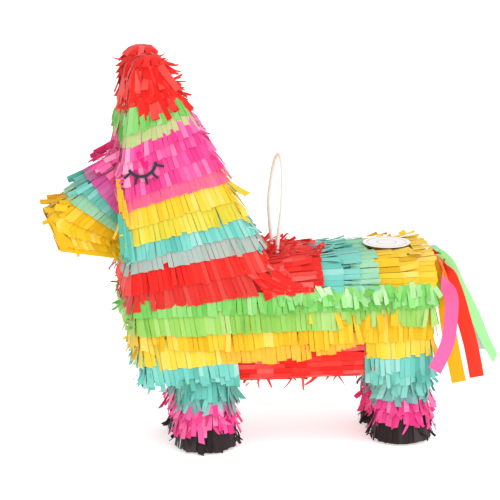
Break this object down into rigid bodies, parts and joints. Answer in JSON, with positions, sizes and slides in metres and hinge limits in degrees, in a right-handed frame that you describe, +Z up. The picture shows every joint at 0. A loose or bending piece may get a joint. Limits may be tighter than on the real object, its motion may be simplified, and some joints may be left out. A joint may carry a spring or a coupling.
{
  "type": "hanging party figure",
  "caption": "Donkey-shaped party container of board and fringed tissue in bands of colour, with a hanging loop, a flap for sweets under a label and a streamer tail.",
  "frame": {"origin": "on the floor, under the middle of the figure's own box, with all four feet on Z = 0", "axes": "+Z up, +X from the head towards the tail, -Y towards the figure's left side"},
  "size_m": [0.5718, 0.1762, 0.4891],
  "materials": {
    "kraft_board": "corrugated board, kraft brown",
    "buff_tape": "gummed paper tape",
    "red_tissue": "crepe tissue paper, matt",
    "teal_tissue": "crepe tissue paper, matt",
    "yellow_tissue": "crepe tissue paper, matt",
    "pink_tissue": "crepe tissue paper, matt",
    "green_tissue": "crepe tissue paper, matt",
    "orange_tissue": "crepe tissue paper, matt",
    "black_tissue": "crepe tissue paper, matt",
    "black_paper": "thin card, matt",
    "white_label": "coated paper label",
    "cream_cord": "twisted cotton cord"
  },
  "bodies": {
    "carcass": {"side_panel_left": "kraft_board", "side_panel_right": "kraft_board", "back_panel": "kraft_board", "belly_panel": "kraft_board", "front_panel": "kraft_board", "nape_panel": "kraft_board", "crown_panel": "kraft_board", "rump_panel": "kraft_board", "muzzle_side_left": "kraft_board", "muzzle_side_right": "kraft_board", "muzzle_wrap": "kraft_board", "ear_left": "kraft_board", "ear_right": "kraft_board", "leg_tube_front_left": "kraft_board", "leg_tube_front_right": "kraft_board", "leg_tube_rear_left": "kraft_board", "leg_tube_rear_right": "kraft_board", "sole_front_left": "kraft_board", "sole_front_right": "kraft_board", "sole_rear_left": "kraft_board", "sole_rear_right": "kraft_board", "loop_plate": "kraft_board", "leg_joint_tape": "buff_tape", "shoulder_seam_tape": "buff_tape", "tail_anchor": "buff_tape", "fringe_neck_red": "red_tissue", "fringe_neck_teal": "teal_tissue", "fringe_neck_yellow": "yellow_tissue", "fringe_head_pink": "pink_tissue", "fringe_muzzle_pink": "pink_tissue", "fringe_muzzle_teal": "teal_tissue", "fringe_muzzle_yellow": "yellow_tissue", "fringe_ears_green": "green_tissue", "fringe_ears_red": "red_tissue", "fringe_saddle_red": "red_tissue", "fringe_back_teal": "teal_tissue", "fringe_rump_yellow": "yellow_tissue", "fringe_body_green": "green_tissue", "fringe_body_yellow": "yellow_tissue", "fringe_belly_red": "red_tissue", "fringe_legs_teal": "teal_tissue", "fringe_legs_pink": "pink_tissue", "fringe_legs_black": "black_tissue", "eye_left": "black_paper", "eye_right": "black_paper", "loop_knots": "cream_cord"},
    "filling_flap": {"fill_flap": "kraft_board", "fill_flap_tissue": "yellow_tissue", "fill_label": "white_label"},
    "hanging_loop": {"loop_cord": "cream_cord"},
    "tail": {"tail_binding": "buff_tape", "tail_streamer_green": "green_tissue", "tail_streamer_teal": "teal_tissue", "tail_streamer_red": "red_tissue", "tail_streamer_orange": "orange_tissue", "tail_streamer_pink": "pink_tissue"}
  },
  "joints": [
    {"name": "filling_flap_hinge", "type": "hinge", "parent": "carcass", "child": "filling_flap", "pos_m": [0.10421, 0, 0.2393], "axis": [0, -1, 0], "range_deg": [0, 90]},
    {"name": "hanging_loop_tilt", "type": "hinge", "parent": "carcass", "child": "hanging_loop", "pos_m": [-0.00579, 0, 0.2415], "axis": [0, 1, 0], "range_deg": [-20, 55], "stiffness_Nm_per_rad": 0.02},
    {"name": "tail_swing", "type": "hinge", "parent": "carcass", "child": "tail", "pos_m": [0.18241, 0, 0.225], "axis": [0, -1, 0], "range_deg": [0, 60]}
  ]
}
